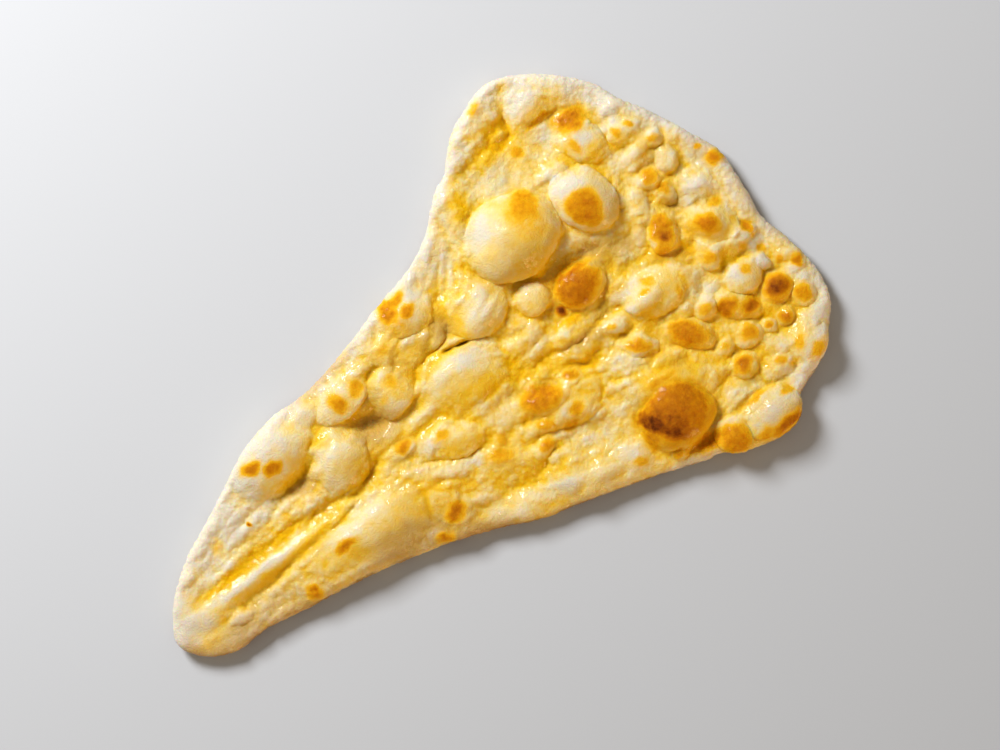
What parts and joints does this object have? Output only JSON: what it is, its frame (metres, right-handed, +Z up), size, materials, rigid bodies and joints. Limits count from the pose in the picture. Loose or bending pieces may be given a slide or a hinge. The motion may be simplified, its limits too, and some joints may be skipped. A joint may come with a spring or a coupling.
{
  "type": "naan flatbread",
  "caption": "Leavened flatbread in a long teardrop shape, with raised blisters on its upper face, a rolled fold along its tail and a flat base to lie on",
  "frame": {"origin": "centre of the base's bounding rectangle, on the surface the bread lies on", "axes": "+X from the tip of the tail to the broad end, +Z up out of the blistered face, +Y across the bread"},
  "size_m": [0.366, 0.229, 0.0239],
  "materials": {
    "crust": "baked dough brushed with butter, pale at the rim, toasted brown on the blisters"
  },
  "bodies": {
    "root": {"naan": "crust"}
  },
  "joints": []
}
